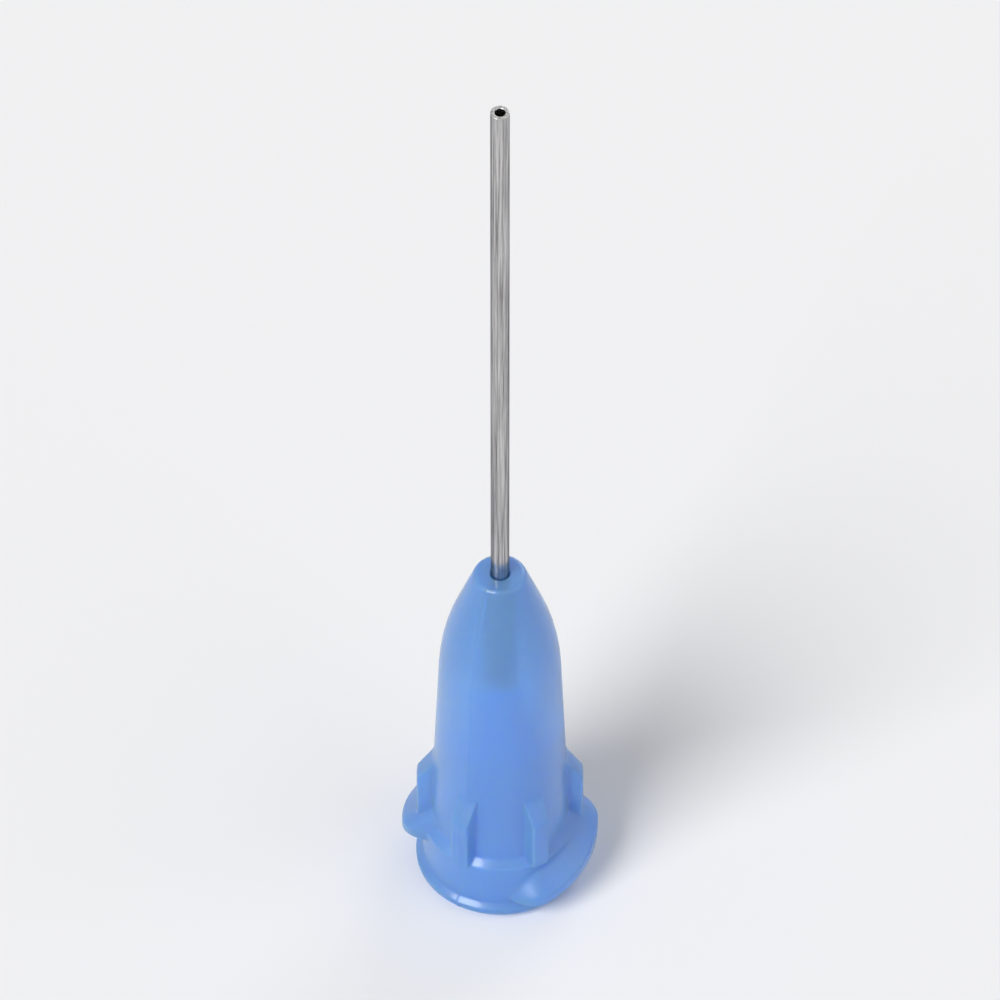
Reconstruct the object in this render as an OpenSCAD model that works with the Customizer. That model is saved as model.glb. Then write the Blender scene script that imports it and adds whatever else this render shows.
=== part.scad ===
// Dispensing needle tip: a blunt steel cannula moulded into a plastic lock hub.
// The axis is Z. The hub's open end stands on z = 0 and the cannula points up.
// Heights run up from the open end's face, and slopes are in degrees from the axis.

/* [Rim and collar] */
// Diameter of the rim around the open end
rim_d = 6.7; // [6.4:0.05:6.75]
// Height of the rim
rim_h = 0.55; // [0.4:0.05:0.8]
// Height of the bevel on the rim's outer edge
rim_bevel_h = 0.3; // [0.1:0.05:0.35]
// Width of that bevel, across the end face
rim_bevel_w = 0.4; // [0.1:0.05:0.5]
// Diameter of the collar that carries the lock thread
collar_d = 6.2; // [5.9:0.05:6.3]
// Height of the collar's shoulder
collar_h = 3.1; // [3:0.1:4.5]

/* [Lock thread] */
// Number of thread starts
thread_starts = 2; // [1:1:3]
// Diameter over the thread's crests
thread_d = 7.8; // [7.3:0.05:7.83]
// Climb of the thread in one full turn
thread_lead = 5; // [4:0.1:5.5]
// Turn that each start covers, in degrees
thread_turn = 110; // [80:5:115]
// Turn in which each end of a start rises to its full height, in degrees
thread_rise = 25; // [10:1:35]
// Width of a start at its ends, as a share of its full width
thread_end_share = 0.55; // [0.4:0.05:1]
// Height of the crest's middle line where a start begins
thread_first_h = 1; // [0.9:0.05:1.3]
// Width of the crest
thread_crest_w = 0.45; // [0.2:0.05:0.6]
// Lean of the flank that faces the open end, in degrees from square to the axis
thread_open_flank = 15; // [5:1:25]
// Lean of the flank that faces the nose, in degrees from square to the axis
thread_nose_flank = 40; // [25:1:50]
// Turn from the X axis to the beginning of the first start, in degrees
thread_clock = 275; // [0:5:355]

/* [Grip ribs] */
// Number of ribs
rib_count = 6; // [3:1:10]
// Diameter over the ribs
rib_d = 6.6; // [6.3:0.05:6.7]
// Thickness of a rib
rib_w = 0.7; // [0.4:0.05:1.2]
// Length by which a rib laps over the collar
rib_lap = 0.3; // [0.1:0.05:0.5]
// Length of a rib's crest above the collar's shoulder
rib_length = 2.1; // [1:0.1:4]
// Slope at which a rib runs out onto the barrel
rib_slope = 35; // [20:1:60]

/* [Barrel and nose] */
// Diameter of the barrel where it leaves the collar
barrel_d = 5.5; // [5.3:0.05:5.8]
// Slope of the barrel's wall, its draft
barrel_slope = 2.4; // [1:0.1:4]
// Slope of the nose cone's wall
nose_slope = 20; // [14:1:28]
// Diameter of the nose cone at the nose's end
nose_d = 2; // [1.4:0.1:2.6]
// Radius of the bend from the barrel into the nose cone
nose_bend_r = 16; // [4:1:20]
// Radius on the edge of the nose's end
nose_edge_r = 0.25; // [0.1:0.05:0.4]

/* [Tapered socket] */
// Diameter of the socket at its mouth
socket_d = 4.3; // [4.2:0.01:4.4]
// Loss of the socket's diameter for each unit of its depth
socket_taper = 0.06; // [0.04:0.005:0.08]
// Depth of the socket
socket_depth = 8; // [7.5:0.1:9]
// Width of the bevel at the socket's mouth
socket_bevel = 0.15; // [0.05:0.05:0.3]
// Slope of the step from the socket into the throat
step_slope = 45; // [30:1:60]
// Diameter of the throat above the step
throat_d = 2.6; // [2:0.1:3]
// Diameter of the throat's upper end
throat_end_d = 1.8; // [1.2:0.1:2]
// Length of the throat
throat_length = 2.25; // [1:0.05:4]
// Slope of the funnel from the throat to the cannula
funnel_slope = 45; // [30:1:60]

/* [Cannula] */
// Outer diameter of the cannula, 22 gauge
cannula_d = 0.72; // [0.4:0.01:1.1]
// Bore of the cannula
cannula_bore_d = 0.41; // [0.15:0.01:0.6]
// Length of the cannula that stands out of the nose
cannula_reach = 25.4; // [6:0.1:40]
// Length of the cannula that the nose holds
cannula_seat = 5.6; // [4:0.1:8]
// Gap around the cannula in the nose, 0 where plastic is moulded onto steel
cannula_gap = 0; // [0:0.005:0.02]

/* [Hidden] */

// Turn between the sides of a round surface, in degrees
round_step = 5;
$fn = 360 / round_step;

// Overlap of a cut past the face that it opens
cut = 0.1;
// Depth to which the thread's foot is buried in the collar
bury = 0.3;
// Depth under the collar's surface at which a start's ends vanish
vanish = 0.1;

// Radii
rim_r = rim_d / 2;
collar_r = collar_d / 2;
thread_r = thread_d / 2;
rib_r = rib_d / 2;
barrel_r = barrel_d / 2;
nose_r = nose_d / 2;
socket_r = socket_d / 2;
throat_r = throat_d / 2;
throat_end_r = throat_end_d / 2;
cannula_r = cannula_d / 2;
seat_r = cannula_r + cannula_gap;

// Inside of the hub, from the mouth up
socket_end_r = socket_r - socket_taper * socket_depth / 2;
throat_h = socket_depth + (socket_end_r - throat_r) / tan(step_slope);
throat_end_h = throat_h + throat_length;
seat_h = throat_end_h + (throat_end_r - seat_r) / tan(funnel_slope);
hub_h = seat_h + cannula_seat;

// Bend of the outside, where the barrel's line meets the nose cone's line
barrel_fall = tan(barrel_slope);
nose_fall = tan(nose_slope);
bend_h = (nose_r + nose_fall * hub_h - barrel_r - barrel_fall * collar_h) / (nose_fall - barrel_fall);
bend_r = nose_r + nose_fall * (hub_h - bend_h);
half_bend = (nose_slope - barrel_slope) / 2;
bend_room = 0.8 * min(hub_h - bend_h, bend_h - collar_h);
bend_leg = min(nose_bend_r * tan(half_bend), bend_room);

// Thread's foot: its width on each side of the middle line, buried in the collar
foot_r = collar_r - bury;
foot_open_w = thread_crest_w / 2 + (thread_r - foot_r) * tan(thread_open_flank);
foot_nose_w = thread_crest_w / 2 + (thread_r - foot_r) * tan(thread_nose_flank);
thread_steps = ceil(thread_turn / round_step);

// Ribs start in the middle of the socket's wall
rib_foot_r = (barrel_r + socket_r) / 2;

// Point on a wall's line at a distance below a corner, as radius and height
function below(corner, distance, slope) = corner + distance * [sin(slope), -cos(slope)];

// Arc that leaves start along one slope and turns to another
function bend_arc(start, r, slope_a, slope_b, steps) =
    let (centre = start - r * [cos(slope_a), sin(slope_a)])
    [for (i = [0:steps])
        let (slope = slope_a + (slope_b - slope_a) * i / steps)
        centre + r * [cos(slope), sin(slope)]];

// Outline of the hub's outside as radius and height, from the end face up
function outside() =
    let (
        bend_start = below([bend_r, bend_h], bend_leg, barrel_slope),
        edge_leg = nose_edge_r * tan((90 - nose_slope) / 2),
        edge_start = below([nose_r, hub_h], edge_leg, nose_slope)
    )
    concat(
        [
            [0, 0],
            [rim_r - rim_bevel_w, 0],
            [rim_r, rim_bevel_h],
            [rim_r, rim_h],
            [collar_r, rim_h + rim_r - collar_r],
            [collar_r, collar_h - (collar_r - barrel_r)],
            [barrel_r, collar_h]
        ],
        bend_arc(bend_start, bend_leg / tan(half_bend), barrel_slope, nose_slope, 6),
        bend_arc(edge_start, nose_edge_r, nose_slope, 90, 5),
        [[0, hub_h]]
    );

// Outline of the hub's inside, from below the end face to above the nose
function inside() = [
    [0, -cut],
    [socket_r + socket_bevel + cut, -cut],
    [socket_r - socket_taper * socket_bevel / 2, socket_bevel],
    [socket_end_r, socket_depth],
    [throat_r, throat_h],
    [throat_end_r, throat_end_h],
    [seat_r, seat_h],
    [seat_r, hub_h + cut],
    [0, hub_h + cut]
];

// Section of a thread start at one turn: foot, crest, crest, foot, from the open side
function thread_section(turn) =
    let (
        rise = sin(90 * min(1, turn / thread_rise, (thread_turn - turn) / thread_rise)),
        share = thread_end_share + (1 - thread_end_share) * rise,
        vanish_r = collar_r - vanish,
        crest_r = vanish_r + (thread_r - vanish_r) * rise,
        middle_h = thread_first_h + thread_lead * turn / 360,
        outline = [
            [foot_r, -foot_open_w],
            [crest_r, -thread_crest_w / 2],
            [crest_r, thread_crest_w / 2],
            [foot_r, foot_nose_w]
        ]
    )
    [for (p = outline) [p.x * cos(turn), p.x * sin(turn), middle_h + p.y * share]];

// One start of the thread: its sections joined ring to ring and closed at both ends
module thread_start() {
    sections = [for (i = [0:thread_steps]) thread_section(thread_turn * i / thread_steps)];
    sides = [
        for (i = [0:thread_steps - 1], j = [0:3])
            let (a = 4 * i + j, b = 4 * i + (j + 1) % 4)
            each [[a, b, b + 4], [a, b + 4, a + 4]]
    ];
    last = 4 * thread_steps;
    ends = [[3, 2, 1, 0], [last, last + 1, last + 2, last + 3]];
    polyhedron([for (s = sections) each s], concat(sides, ends));
}

// One grip rib, standing on the barrel along the X axis
module rib() {
    run_out = (rib_r - rib_foot_r) / tan(rib_slope);
    outline = [
        [rib_foot_r, collar_h - rib_lap],
        [rib_r, collar_h - rib_lap],
        [rib_r, collar_h + rib_length],
        [rib_foot_r, collar_h + rib_length + run_out]
    ];
    rotate([90, 0, 0])
        translate([0, 0, -rib_w / 2])
            linear_extrude(rib_w)
                polygon(outline);
}

module hub() {
    color([0.16, 0.42, 0.92, 0.85])
        difference() {
            union() {
                rotate_extrude()
                    polygon(outside());
                for (i = [0:thread_starts - 1])
                    rotate([0, 0, thread_clock + 360 * i / thread_starts])
                        thread_start();
                for (i = [0:rib_count - 1])
                    rotate([0, 0, 360 * i / rib_count])
                        rib();
            }
            rotate_extrude()
                polygon(inside());
        }
}

module cannula() {
    length = cannula_seat + cannula_reach;
    color([0.75, 0.75, 0.77])
        translate([0, 0, seat_h])
            difference() {
                cylinder(r = cannula_r, h = length);
                translate([0, 0, -cut])
                    cylinder(d = cannula_bore_d, h = length + 2 * cut);
            }
}

hub();
cannula();
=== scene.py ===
"""Dresses a dispensing needle tip: a blue plastic lock hub around a steel cannula.

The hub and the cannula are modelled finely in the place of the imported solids, given
their finishes, and set on a pale floor in soft studio light. Lengths in the panel are
in metres, as everywhere in the scene, and heights run up from the hub's open end.
"""

import math

import bmesh
import bpy
from mathutils import Matrix, Vector


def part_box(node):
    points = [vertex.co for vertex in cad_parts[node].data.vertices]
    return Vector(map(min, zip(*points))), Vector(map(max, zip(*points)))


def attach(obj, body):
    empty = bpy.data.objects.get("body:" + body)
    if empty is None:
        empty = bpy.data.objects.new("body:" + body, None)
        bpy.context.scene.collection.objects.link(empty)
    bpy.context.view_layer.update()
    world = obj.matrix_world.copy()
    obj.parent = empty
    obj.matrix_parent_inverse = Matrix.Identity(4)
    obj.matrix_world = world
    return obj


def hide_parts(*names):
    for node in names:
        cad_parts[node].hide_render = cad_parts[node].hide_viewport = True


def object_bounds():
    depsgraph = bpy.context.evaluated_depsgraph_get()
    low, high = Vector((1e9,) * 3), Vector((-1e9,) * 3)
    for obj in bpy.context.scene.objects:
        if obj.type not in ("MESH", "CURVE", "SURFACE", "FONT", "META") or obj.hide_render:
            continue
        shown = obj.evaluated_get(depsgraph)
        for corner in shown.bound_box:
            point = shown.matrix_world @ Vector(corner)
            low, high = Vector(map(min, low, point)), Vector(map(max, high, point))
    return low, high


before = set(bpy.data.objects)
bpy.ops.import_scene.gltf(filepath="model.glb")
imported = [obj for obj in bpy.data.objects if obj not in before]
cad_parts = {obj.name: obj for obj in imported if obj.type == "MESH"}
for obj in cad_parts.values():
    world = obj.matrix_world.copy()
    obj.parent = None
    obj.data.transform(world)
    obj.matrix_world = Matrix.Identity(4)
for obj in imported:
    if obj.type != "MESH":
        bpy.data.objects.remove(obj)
CAD_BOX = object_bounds()
HUB_LOW, HUB_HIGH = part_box("hub")
CANNULA_LOW, CANNULA_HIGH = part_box("cannula")

MM = 0.001
FULL_TURN = 2.0 * math.pi
CAMERA_AZIMUTH = -math.pi / 2.0
HUB_HEIGHT = HUB_HIGH.z - HUB_LOW.z
THREAD_CREST = HUB_HIGH.x
CANNULA_RADIUS = CANNULA_HIGH.x
SEAT_HEIGHT = CANNULA_LOW.z

bl_info = {
    "name": "Dispensing Needle Tip",
    "version": (1, 0, 0),
    "blender": (4, 5, 0),
    "location": "View3D > Sidebar > Needle Tip",
    "description": "Models and finishes a dispensing needle tip around its packed solids",
    "category": "Add Mesh",
}


# Sizes and colours ---------------------------------------------------------------


def length(name, description, millimetres):
    """A length property whose default is given in millimetres."""
    return bpy.props.FloatProperty(
        name=name,
        description=description,
        default=millimetres * MM,
        min=0.0,
        precision=5,
        unit="LENGTH",
    )


def angle(name, description, degrees):
    """An angle property whose default is given in degrees."""
    return bpy.props.FloatProperty(
        name=name, description=description, default=math.radians(degrees), subtype="ANGLE"
    )


def share(name, description, default):
    """A plain number from 0 to 1."""
    return bpy.props.FloatProperty(name=name, description=description, default=default, min=0.0, max=1.0)


def number(name, description, default):
    """A plain number from 0 up."""
    return bpy.props.FloatProperty(name=name, description=description, default=default, min=0.0)


def count(name, description, default):
    """A whole number from 1 up."""
    return bpy.props.IntProperty(name=name, description=description, default=default, min=1)


def light(name, description, azimuth, elevation, width):
    """A light's place from its azimuth, elevation and apparent width in degrees."""
    return bpy.props.FloatVectorProperty(
        name=name,
        description=f"Azimuth, elevation and apparent width of the {description}",
        default=[math.radians(degrees) for degrees in (azimuth, elevation, width)],
        size=3,
        unit="ROTATION",
    )


def colour(name, description, default):
    """A linear colour."""
    return bpy.props.FloatVectorProperty(
        name=name, description=description, default=default, subtype="COLOR", size=3, min=0.0, max=1.0
    )


class HubSizes(bpy.types.PropertyGroup):
    """Sizes of the hub; its height and its thread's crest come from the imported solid."""

    rim_radius: length("Rim radius", "Radius of the rim around the open end", 3.35)
    rim_height: length("Rim height", "Height of the rim", 0.55)
    rim_bevel_height: length("Rim bevel height", "Height of the bevel on the rim's edge", 0.3)
    rim_bevel_width: length("Rim bevel width", "Width of the bevel across the end face", 0.4)
    rim_edge: length("Rim edge", "Radius on the rim's edges", 0.12)
    collar_radius: length("Collar radius", "Radius of the collar under the thread", 3.1)
    collar_height: length("Collar height", "Height of the collar's shoulder", 3.1)
    shoulder_edge: length("Shoulder edge", "Radius on the shoulder's outer edge", 0.15)
    shoulder_fillet: length("Shoulder fillet", "Radius at the barrel's foot", 0.3)
    barrel_radius: length("Barrel radius", "Radius of the barrel at the collar", 2.75)
    barrel_slope: angle("Barrel slope", "Draft of the barrel's wall", 2.4)
    nose_slope: angle("Nose slope", "Slope of the nose cone's wall", 20.0)
    nose_radius: length("Nose radius", "Radius of the nose cone at its end", 1.0)
    nose_bend: length("Nose bend", "Radius of the bend from barrel to nose cone", 16.0)
    nose_edge: length("Nose edge", "Radius on the edge of the nose's end", 0.25)
    parting_clock: angle("Parting clock", "Turn from the X axis to the mould's parting plane", 60.0)
    parting_height: length("Parting height", "Height of the fine ridge that the parting leaves", 0.018)
    parting_width: length("Parting width", "Width of that ridge", 0.16)
    corner: length("Corner", "Radius of the corners around the rim and in the socket", 0.2)
    socket_radius: length("Socket radius", "Radius of the socket's mouth", 2.15)
    socket_taper: share("Socket taper", "Loss of diameter for each unit of depth", 0.06)
    socket_depth: length("Socket depth", "Depth of the tapered socket", 8.0)
    socket_bevel: length("Socket bevel", "Bevel at the socket's mouth", 0.15)
    mouth_edge: length("Mouth edge", "Radius on the edges of that bevel", 0.05)
    throat_radius: length("Throat radius", "Radius of the throat above the socket", 1.3)
    throat_end_radius: length("Throat end radius", "Radius of the throat's upper end", 0.9)
    seat_bevel: length("Seat bevel", "Width of the fine bevel around the cannula", 0.06)
    seat_overlap: length("Seat overlap", "Depth of the plastic in the steel, so that no gap shows", 0.036)
    sides: count("Sides", "Number of sides of the round surfaces", 480)
    row: length("Row", "Height of the mesh's rows under the thread and the ribs", 0.055)


class ThreadSizes(bpy.types.PropertyGroup):
    """Sizes of the lock thread and of the grip ribs."""

    starts: count("Starts", "Number of thread starts", 2)
    lead: length("Lead", "Climb of the thread in one turn", 5.0)
    turn: angle("Turn", "Turn that each start covers", 110.0)
    rise: angle("Rise", "Turn in which each end reaches full height", 25.0)
    clock: angle("Clock", "Turn from the X axis to the first start", 275.0)
    end_share: share("End share", "Width of a start at its ends, as a share of its full width", 0.55)
    foot_depth: length("Foot depth", "Depth of a start's foot under the collar's surface", 0.3)
    vanish_depth: length("Vanish depth", "Depth under the collar at which the ends vanish", 0.1)
    first_height: length("First height", "Height of the crest where a start begins", 1.0)
    crest_width: length("Crest width", "Width of the thread's crest", 0.45)
    open_flank: angle("Open flank", "Lean of the flank towards the open end", 15.0)
    nose_flank: angle("Nose flank", "Lean of the flank towards the nose", 40.0)
    ribs: count("Ribs", "Number of grip ribs", 6)
    rib_radius: length("Rib radius", "Radius over the grip ribs", 3.3)
    rib_width: length("Rib width", "Thickness of a rib", 0.7)
    rib_lap: length("Rib lap", "Length by which a rib laps over the collar", 0.3)
    rib_length: length("Rib length", "Length of a rib's crest above the shoulder", 2.1)
    rib_slope: angle("Rib slope", "Slope at which a rib runs out", 35.0)
    rib_draft: share("Rib draft", "Spread of a rib's flank for each unit of its height", 0.14)
    rib_lead_in: share("Rib lead-in", "Length of a rib's lower end for each unit of its height", 0.4)
    edge: length("Edge", "Reach of the rounding on the edges of thread and ribs", 0.1)
    blend: length("Blend", "Reach of the fillets at the feet of thread and ribs", 0.14)


class CannulaSizes(bpy.types.PropertyGroup):
    """Sizes of the cannula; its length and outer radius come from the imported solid."""

    bore_radius: length("Bore radius", "Radius of the cannula's bore", 0.205)
    edge: length("Edge", "Radius on the edges of the cut ends", 0.025)
    sides: count("Sides", "Number of sides of the tube", 96)


class Finish(bpy.types.PropertyGroup):
    """Colours of the materials."""

    plastic: colour("Plastic", "Body colour of the blue plastic", (0.23, 0.53, 0.99))
    plastic_deep: colour("Deep plastic", "Colour of the plastic's flow lines", (0.18, 0.46, 0.97))
    steel: colour("Steel", "Colour of the drawn steel", (0.64, 0.63, 0.62))
    steel_dark: colour("Dark steel", "Colour in the steel's drawing lines", (0.22, 0.215, 0.22))
    steel_edge: colour("Steel at grazing angles", "Tint of the steel seen edge on", (0.36, 0.36, 0.40))
    floor: colour("Floor", "Colour of the floor", (0.86, 0.86, 0.87))


class StageSizes(bpy.types.PropertyGroup):
    """The camera's place and the strength of the light."""

    elevation: angle("Elevation", "Height of the camera above the floor, as an angle", 48.0)
    distance: length("Distance", "Distance from the camera to the part's middle", 360.0)
    near: length("Near", "Distance from which the camera sees things", 10.0)
    margin: number("Margin", "Width of the view over the height of the part in it", 1.14)
    key_place: light("Key place", "key light, up and to the left", 225.0, 42.0, 32.0)
    key_strength: number("Key strength", "Strength of the key light", 2.45)
    fill_place: light("Fill place", "fill light, on the right", -25.0, 32.0, 60.0)
    fill_strength: number("Fill strength", "Strength of the fill light", 0.5)
    back_place: light("Back place", "light behind, which shines through the plastic", 62.0, 28.0, 40.0)
    back_strength: number("Back strength", "Strength of the light behind", 0.6)
    sky: share("Sky", "Strength of the light from all round", 0.32)
    backdrop: share("Backdrop", "Level at which the surroundings are seen", 0.9)
    floor_reach: length("Floor reach", "Distance from the part to the floor's edge", 2500.0)
    floor_gap: length("Floor gap", "Gap that keeps the floor clear of the part's end face", 0.01)


# Shader maths --------------------------------------------------------------------


class Value:
    """A shader socket that carries a number; arithmetic on it adds Math nodes."""

    def __init__(self, shader, socket):
        self.shader = shader
        self.socket = socket

    def _math(self, operation, first, second):
        return self.shader.add("ShaderNodeMath", {"operation": operation}, {0: first, 1: second})

    def __add__(self, other):
        return self._math("ADD", self, other)

    def __radd__(self, other):
        return self._math("ADD", other, self)

    def __sub__(self, other):
        return self._math("SUBTRACT", self, other)

    def __rsub__(self, other):
        return self._math("SUBTRACT", other, self)

    def __mul__(self, other):
        return self._math("MULTIPLY", self, other)

    def __rmul__(self, other):
        return self._math("MULTIPLY", other, self)

    def or_more(self, other):
        """The larger of this value and another."""
        return self._math("MAXIMUM", self, other)


class Shader:
    """The node tree of a material or a world, built from expressions."""

    def __init__(self, owner):
        self.owner = owner
        owner.use_nodes = True
        self.nodes = owner.node_tree.nodes
        self.links = owner.node_tree.links

    def add(self, kind, settings=None, inputs=None, output=0):
        """Adds a node, applies its settings, then sets or links its inputs."""
        node = self.nodes.new(kind)
        for key, setting in (settings or {}).items():
            setattr(node, key, setting)
        for key, given in (inputs or {}).items():
            self.feed(node.inputs[key], given)
        return Value(self, node.outputs[output])

    def feed(self, socket, given):
        """Links a shader value to a socket, or writes a plain one into it."""
        if isinstance(given, Value):
            self.links.new(given.socket, socket)
        else:
            socket.default_value = given

    def noise(self, across, along, detail=2.0, roughness=0.5):
        """Noise from 0 to 1, in grains so many millimetres across and along the part's axis."""
        here = self.add("ShaderNodeTexCoord", output="Object")
        scale = (1.0 / (MM * across), 1.0 / (MM * across), 1.0 / (MM * along))
        place = self.add("ShaderNodeMapping", {}, {"Vector": here, "Scale": scale})
        inputs = {"Vector": place, "Scale": 1.0, "Detail": detail, "Roughness": roughness}
        return self.add("ShaderNodeTexNoise", {}, inputs, output="Fac")

    def mix(self, factor, first, second):
        """Colour between two colours."""
        inputs = {"Factor": factor, "A": first, "B": second}
        return self.add("ShaderNodeMix", {"data_type": "RGBA"}, inputs, output="Result")

    def bump(self, height, distance, strength):
        """A normal from a height field that is distance deep."""
        inputs = {"Height": height, "Distance": distance, "Strength": strength}
        return self.add("ShaderNodeBump", {}, inputs)

    def finish(self, node, **inputs):
        """Sets a ready node's sockets by name, with underscores for spaces, and gives the owner."""
        for key, given in inputs.items():
            self.feed(self.nodes[node].inputs[key.replace("_", " ")], given)
        return self.owner


def surface(name):
    """The shader of a new material."""
    return Shader(bpy.data.materials.new(name))


def opaque(rgb):
    """A colour property as the four numbers of a colour socket."""
    return (*rgb, 1.0)


def blue_plastic(finish):
    """Translucent polypropylene: milky, satin, with faint flow lines along the part."""
    shader = surface("blue_plastic")
    flow = shader.noise(across=1.1, along=4.4, detail=3.0)
    skin = shader.noise(across=0.45, along=0.73)
    return shader.finish(
        "Principled BSDF",
        Base_Color=shader.mix(flow, opaque(finish.plastic_deep), opaque(finish.plastic)),
        Roughness=0.33 + skin * 0.08,
        Normal=shader.bump(skin, distance=0.004 * MM, strength=0.6),
        IOR=1.49,
        Transmission_Weight=0.6,
        Coat_Weight=0.45,
        Coat_Roughness=0.1,
        Subsurface_Weight=1.0,
        Subsurface_Radius=(0.4, 0.75, 1.4),
        Subsurface_Scale=0.55 * MM,
    )


def drawn_steel(finish):
    """Stainless tube: bright, with fine lines drawn along its length."""
    shader = surface("drawn_steel")
    lines = shader.noise(across=0.07, along=4.3, detail=4.0, roughness=0.65)
    clouds = shader.noise(across=0.9, along=1.8, detail=3.0)
    streaks = shader.add(
        "ShaderNodeMapRange", {"clamp": True}, {"Value": lines, "From Min": 0.34, "From Max": 0.62}
    )
    return shader.finish(
        "Principled BSDF",
        Base_Color=shader.mix(streaks, opaque(finish.steel_dark), opaque(finish.steel)),
        Metallic=1.0,
        Specular_Tint=opaque(finish.steel_edge),
        Roughness=0.14 + (1.0 - streaks) * 0.12 + clouds * 0.08,
        Normal=shader.bump(lines, distance=0.005 * MM, strength=0.6),
    )


def pale_floor(finish):
    """Plain matt floor."""
    shader = surface("pale_floor")
    return shader.finish(
        "Principled BSDF", Base_Color=opaque(finish.floor), Roughness=0.9, Specular_IOR_Level=0.1
    )


def studio_world(stage):
    """Even light from all round, which looks pale behind the part and in its reflections."""
    shader = Shader(bpy.data.worlds.new("studio"))
    camera, gloss, through = (
        shader.add("ShaderNodeLightPath", output=f"Is {kind} Ray")
        for kind in ("Camera", "Glossy", "Transmission")
    )
    seen = camera.or_more(gloss).or_more(through)
    level = seen * stage.backdrop + (1.0 - seen) * stage.sky
    return shader.finish("Background", Color=opaque((1.0, 1.0, 1.0)), Strength=level)


# Outlines ------------------------------------------------------------------------


def rounded_loop(corners, steps=5, most=0.45):
    """A closed outline from (radius, height, rounding) corners, with arcs at the rounded ones.

    An arc takes at most a share, most, of the sides that it joins.
    """
    points = []
    for i, (x, z, rounding) in enumerate(corners):
        here = Vector((x, z))
        before = Vector(corners[i - 1][:2]) - here
        after = Vector(corners[(i + 1) % len(corners)][:2]) - here
        half = before.angle(after) / 2.0
        leg = min(rounding / math.tan(half), most * before.length, most * after.length)
        if leg <= 0.0:
            points.append(here)
            continue
        start = here + before.normalized() * leg
        middle = here + (before.normalized() + after.normalized()).normalized() * (leg / math.cos(half))
        sweep = math.pi - 2.0 * half
        arm = start - middle
        side = math.copysign(1.0, after.cross(before))
        for step in range(steps + 1):
            turn = side * sweep * step / steps
            points.append(middle + Matrix.Rotation(turn, 2) @ arm)
    return points


def hub_outline(hub, zone_top):
    """The hub's wall as a closed outline: up the outside, with a corner at zone_top, down the inside.

    The barrel and the nose cone are straight lines. Run on to the open end's height, they would
    have the radii barrel_foot and nose_foot. The step and the funnel inside slope at 45 degrees.
    """
    seat = CANNULA_RADIUS
    hidden = seat - hub.seat_overlap
    barrel_fall = math.tan(hub.barrel_slope)
    nose_fall = math.tan(hub.nose_slope)
    barrel_foot = hub.barrel_radius + barrel_fall * hub.collar_height
    nose_foot = hub.nose_radius + nose_fall * HUB_HEIGHT
    bend_height = (nose_foot - barrel_foot) / (nose_fall - barrel_fall)
    socket_end = hub.socket_radius - hub.socket_taper * hub.socket_depth / 2.0
    throat_height = hub.socket_depth + socket_end - hub.throat_radius
    throat_end_height = SEAT_HEIGHT - (hub.throat_end_radius - seat)
    rim_top = hub.rim_height + hub.rim_radius - hub.collar_radius
    shoulder = hub.collar_height - (hub.collar_radius - hub.barrel_radius)
    outer = [
        (hub.socket_radius + hub.socket_bevel, 0.0, hub.mouth_edge),
        (hub.rim_radius - hub.rim_bevel_width, 0.0, hub.rim_edge),
        (hub.rim_radius, hub.rim_bevel_height, hub.corner),
        (hub.rim_radius, hub.rim_height, hub.rim_edge),
        (hub.collar_radius, rim_top, hub.corner),
        (hub.collar_radius, shoulder, hub.shoulder_edge),
        (hub.barrel_radius, hub.collar_height, hub.shoulder_fillet),
        (barrel_foot - barrel_fall * zone_top, zone_top, 0.0),
        (barrel_foot - barrel_fall * bend_height, bend_height, hub.nose_bend),
        (hub.nose_radius, HUB_HEIGHT, hub.nose_edge),
    ]
    inner = [
        (seat + hub.seat_bevel, HUB_HEIGHT, hub.seat_bevel / 2.0),
        (hidden, HUB_HEIGHT - hub.seat_bevel - hub.seat_overlap, 0.0),
        (hidden, SEAT_HEIGHT + hub.seat_overlap, 0.0),
        (seat, SEAT_HEIGHT, 0.0),
        (hub.throat_end_radius, throat_end_height, hub.corner),
        (hub.throat_radius, throat_height, hub.corner),
        (socket_end, hub.socket_depth, hub.corner),
        (hub.socket_radius - hub.socket_taper * hub.socket_bevel / 2.0, hub.socket_bevel, hub.mouth_edge),
    ]
    return rounded_loop(outer + inner)


def cannula_outline(cannula):
    """The cannula's wall as a closed outline with softened end edges."""
    low, high = CANNULA_LOW.z, CANNULA_HIGH.z
    bore, outside = cannula.bore_radius, CANNULA_RADIUS
    corners = [(bore, low), (outside, low), (outside, high), (bore, high)]
    return rounded_loop([(x, z, cannula.edge) for x, z in corners], steps=4)


# Meshes --------------------------------------------------------------------------


def turned(outline, sides, fine=None):
    """A bmesh of a closed outline spun about Z; fine is (low, high, inside, row) for close rows."""
    mesh = bmesh.new()
    ring = [mesh.verts.new((p.x, 0.0, p.y)) for p in outline]
    for a, b in zip(ring, ring[1:] + ring[:1]):
        mesh.edges.new((a, b))
    if fine:
        divide_rows(mesh, *fine)
    bmesh.ops.spin(
        mesh,
        geom=mesh.verts[:] + mesh.edges[:],
        axis=(0.0, 0.0, 1.0),
        cent=(0.0, 0.0, 0.0),
        angle=FULL_TURN,
        steps=sides,
        use_merge=True,
    )
    bmesh.ops.recalc_face_normals(mesh, faces=mesh.faces)
    return mesh


def divide_rows(mesh, low, high, inside, row):
    """Cuts the outline's edges outside a radius and between two heights into rows no longer than row."""
    for edge in list(mesh.edges):
        a, b = (v.co for v in edge.verts)
        if min(a.z, b.z) < high and max(a.z, b.z) > low and max(a.x, b.x) > inside:
            cuts = math.ceil(edge.calc_length() / row) - 1
            if cuts > 0:
                bmesh.ops.subdivide_edges(mesh, edges=[edge], cuts=cuts)


def smooth_max(a, b, reach):
    """The larger of two heights, with a fillet where they meet."""
    gap = max(reach - abs(a - b), 0.0) / reach
    return max(a, b) + gap * gap * reach / 4.0


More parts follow.
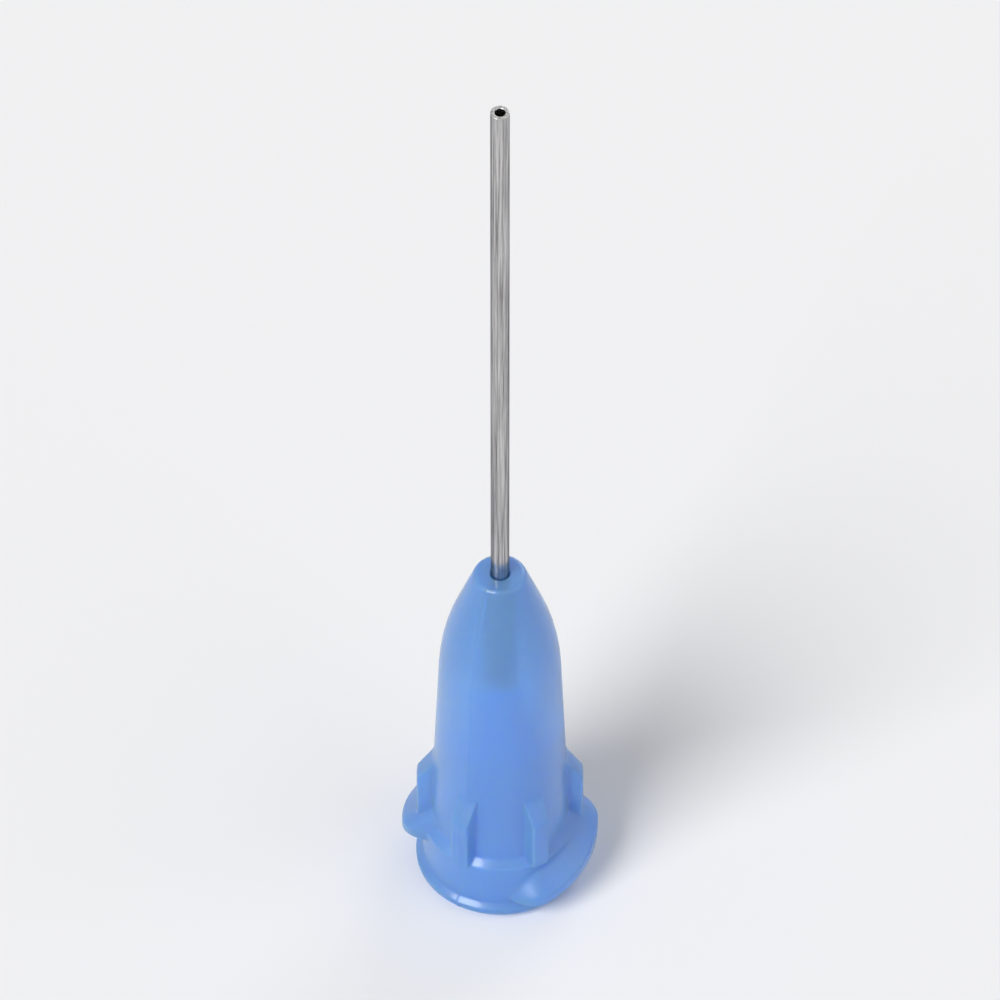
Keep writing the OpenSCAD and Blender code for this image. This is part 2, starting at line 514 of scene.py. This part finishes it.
def smooth_min(a, b, reach):
    """The smaller of two heights, with their edge rounded."""
    return -smooth_max(-a, -b, reach)


def thread_radius(thread, hub, turn, height):
    """Radius of the thread's surface at a turn and a height, or 0 between the starts."""
    past = (turn - thread.clock) % (FULL_TURN / thread.starts)
    if past > thread.turn:
        return 0.0
    risen = math.sin(math.pi / 2.0 * min(1.0, past / thread.rise, (thread.turn - past) / thread.rise))
    width = thread.end_share + (1.0 - thread.end_share) * risen
    vanish = hub.collar_radius - thread.vanish_depth
    foot = hub.collar_radius - thread.foot_depth
    crest = vanish + (THREAD_CREST - vanish) * risen
    off = (height - thread.first_height - thread.lead * past / FULL_TURN) / width
    fall = (crest - foot) / (THREAD_CREST - foot)
    open_side = crest - (-off - thread.crest_width / 2.0) * fall / math.tan(thread.open_flank)
    nose_side = crest - (off - thread.crest_width / 2.0) * fall / math.tan(thread.nose_flank)
    return smooth_min(smooth_min(crest, nose_side, thread.edge), open_side, thread.edge)


def rib_radius(thread, hub, turn, height):
    """Radius of the ribs' surface at a turn and a height; their flanks are drafted planes."""
    pitch = FULL_TURN / thread.ribs
    aside = abs(math.sin((turn + pitch / 2.0) % pitch - pitch / 2.0))
    low = hub.collar_height - thread.rib_lap
    high = hub.collar_height + thread.rib_length
    run_out = thread.rib_radius - (height - high) * math.tan(thread.rib_slope)
    lead_in = thread.rib_radius - (low - height) / thread.rib_lead_in
    flank_foot = thread.rib_width / 2.0 + thread.rib_radius * thread.rib_draft
    flank = flank_foot / (aside + thread.rib_draft)
    crest = smooth_min(smooth_min(thread.rib_radius, run_out, thread.edge), lead_in, thread.edge)
    return smooth_min(crest, flank, thread.edge)


def parting_ridge(hub, turn, radius):
    """Height of the parting's ridge on the surface at a turn."""
    aside = abs(radius * math.sin(turn - hub.parting_clock))
    return hub.parting_height * max(0.0, 1.0 - (2.0 * aside / hub.parting_width) ** 2)


def raise_thread_and_ribs(mesh, hub, thread, low, high):
    """Moves the outside's points out onto the thread, the ribs and the parting's ridge."""
    for vert in mesh.verts:
        away = Vector((vert.co.x, vert.co.y, 0.0))
        if vert.normal.dot(away) <= 0.0:
            continue
        turn = math.atan2(away.y, away.x)
        radius = away.length
        raised = radius
        if low < vert.co.z < high:
            raised = smooth_max(raised, rib_radius(thread, hub, turn, vert.co.z), thread.blend)
            raised = smooth_max(raised, thread_radius(thread, hub, turn, vert.co.z), thread.blend)
        raised += parting_ridge(hub, turn, raised)
        vert.co += away * (raised / radius - 1.0)


def placed(name, data):
    """A new object in the scene that holds a mesh, a lamp or a camera."""
    made = bpy.data.objects.new(name, data)
    bpy.context.scene.collection.objects.link(made)
    return made


def formed(name, mesh, material):
    """A new object made of a bmesh, in one material."""
    data = bpy.data.meshes.new(name)
    mesh.to_mesh(data)
    mesh.free()
    data.materials.append(material)
    return placed(name, data)


def piece(name, mesh, material, node):
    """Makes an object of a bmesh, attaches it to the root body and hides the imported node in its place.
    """
    made = formed(name, mesh, material)
    made.data.shade_smooth()
    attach(made, "root")
    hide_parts(node)
    return made


# Stage ---------------------------------------------------------------------------


def towards(azimuth, elevation):
    """The direction that is turned from the X axis by azimuth and lifted by elevation."""
    level = math.cos(elevation)
    return Vector((level * math.cos(azimuth), level * math.sin(azimuth), math.sin(elevation)))


def soft_light(name, place, strength):
    """A large far light; its place is its azimuth, elevation and apparent width."""
    azimuth, elevation, width = place
    data = bpy.data.lights.new(name, "SUN")
    data.energy = strength
    data.angle = width
    lamp = placed(name, data)
    lamp.rotation_euler = towards(azimuth, elevation).to_track_quat("Z", "Y").to_euler()


def lay_floor(stage, finish, height):
    """A wide flat floor, a hair below a height."""
    mesh = bmesh.new()
    bmesh.ops.create_grid(mesh, x_segments=1, y_segments=1, size=stage.floor_reach)
    bmesh.ops.translate(mesh, verts=mesh.verts, vec=(0.0, 0.0, height - stage.floor_gap))
    floor = formed("floor", mesh, pale_floor(finish))


def aim_camera(stage, low, high):
    """A far camera that takes in the box from low to high."""
    size = high - low
    seen_height = size.z * math.cos(stage.elevation) + size.y * math.sin(stage.elevation)
    away = towards(CAMERA_AZIMUTH, stage.elevation)
    data = bpy.data.cameras.new("camera")
    data.clip_start = stage.near
    data.angle = 2.0 * math.atan(stage.margin * seen_height / (2.0 * stage.distance))
    camera = placed("camera", data)
    camera.location = (low + high) / 2.0 + away * stage.distance
    camera.rotation_euler = (-away).to_track_quat("-Z", "Y").to_euler()
    bpy.context.scene.camera = camera


# Operators -----------------------------------------------------------------------


class NEEDLETIP_OT_hub(bpy.types.Operator):
    """Model the plastic hub with its thread, ribs and tapered socket"""

    bl_idname = "needletip.hub"
    bl_label = "Hub"

    def execute(self, context):
        scene = context.scene
        hub, thread = scene.tip_hub, scene.tip_thread
        inside = (hub.barrel_radius + hub.socket_radius) / 2.0
        run_out = (thread.rib_radius - inside) / math.tan(thread.rib_slope)
        low = hub.rim_bevel_height
        top = hub.collar_height + thread.rib_length + run_out
        mesh = turned(hub_outline(hub, top), hub.sides, (low, top, inside, hub.row))
        raise_thread_and_ribs(mesh, hub, thread, low, top)
        bmesh.ops.recalc_face_normals(mesh, faces=mesh.faces)
        piece("hub_moulding", mesh, blue_plastic(scene.tip_finish), "hub")
        return {"FINISHED"}


class NEEDLETIP_OT_cannula(bpy.types.Operator):
    """Model the steel cannula, a tube cut square at both ends"""

    bl_idname = "needletip.cannula"
    bl_label = "Cannula"

    def execute(self, context):
        scene = context.scene
        mesh = turned(cannula_outline(scene.tip_cannula), scene.tip_cannula.sides)
        piece("cannula_tube", mesh, drawn_steel(scene.tip_finish), "cannula")
        return {"FINISHED"}


class NEEDLETIP_OT_stage(bpy.types.Operator):
    """Set the floor, the lights and the camera"""

    bl_idname = "needletip.stage"
    bl_label = "Stage"

    def execute(self, context):
        scene = context.scene
        stage = scene.tip_stage
        low, high = (Vector(corner) for corner in CAD_BOX)
        lay_floor(stage, scene.tip_finish, low.z)
        soft_light("key", stage.key_place, stage.key_strength)
        soft_light("fill", stage.fill_place, stage.fill_strength)
        soft_light("back", stage.back_place, stage.back_strength)
        scene.world = studio_world(stage)
        aim_camera(stage, low, high)
        scene.view_settings.view_transform = "Standard"
        return {"FINISHED"}


OPERATORS = (NEEDLETIP_OT_stage, NEEDLETIP_OT_hub, NEEDLETIP_OT_cannula)


class NEEDLETIP_PT_panel(bpy.types.Panel):
    """Lists the tip's pieces and its stage"""

    bl_idname = "NEEDLETIP_PT_panel"
    bl_label = "Needle Tip"
    bl_space_type = "VIEW_3D"
    bl_region_type = "UI"
    bl_category = "Needle Tip"

    def draw(self, context):
        for operator in OPERATORS:
            self.layout.operator(operator.bl_idname)


GROUPS = {
    "tip_hub": HubSizes,
    "tip_thread": ThreadSizes,
    "tip_cannula": CannulaSizes,
    "tip_finish": Finish,
    "tip_stage": StageSizes,
}
CLASSES = (*GROUPS.values(), *OPERATORS, NEEDLETIP_PT_panel)


def register():
    for cls in CLASSES:
        bpy.utils.register_class(cls)
    for name, group in GROUPS.items():
        setattr(bpy.types.Scene, name, bpy.props.PointerProperty(type=group))


def unregister():
    for name in GROUPS:
        delattr(bpy.types.Scene, name)
    for cls in reversed(CLASSES):
        bpy.utils.unregister_class(cls)


def main():
    register()
    bpy.ops.needletip.stage()
    bpy.ops.needletip.hub()
    bpy.ops.needletip.cannula()


if __name__ == "__main__":
    main()
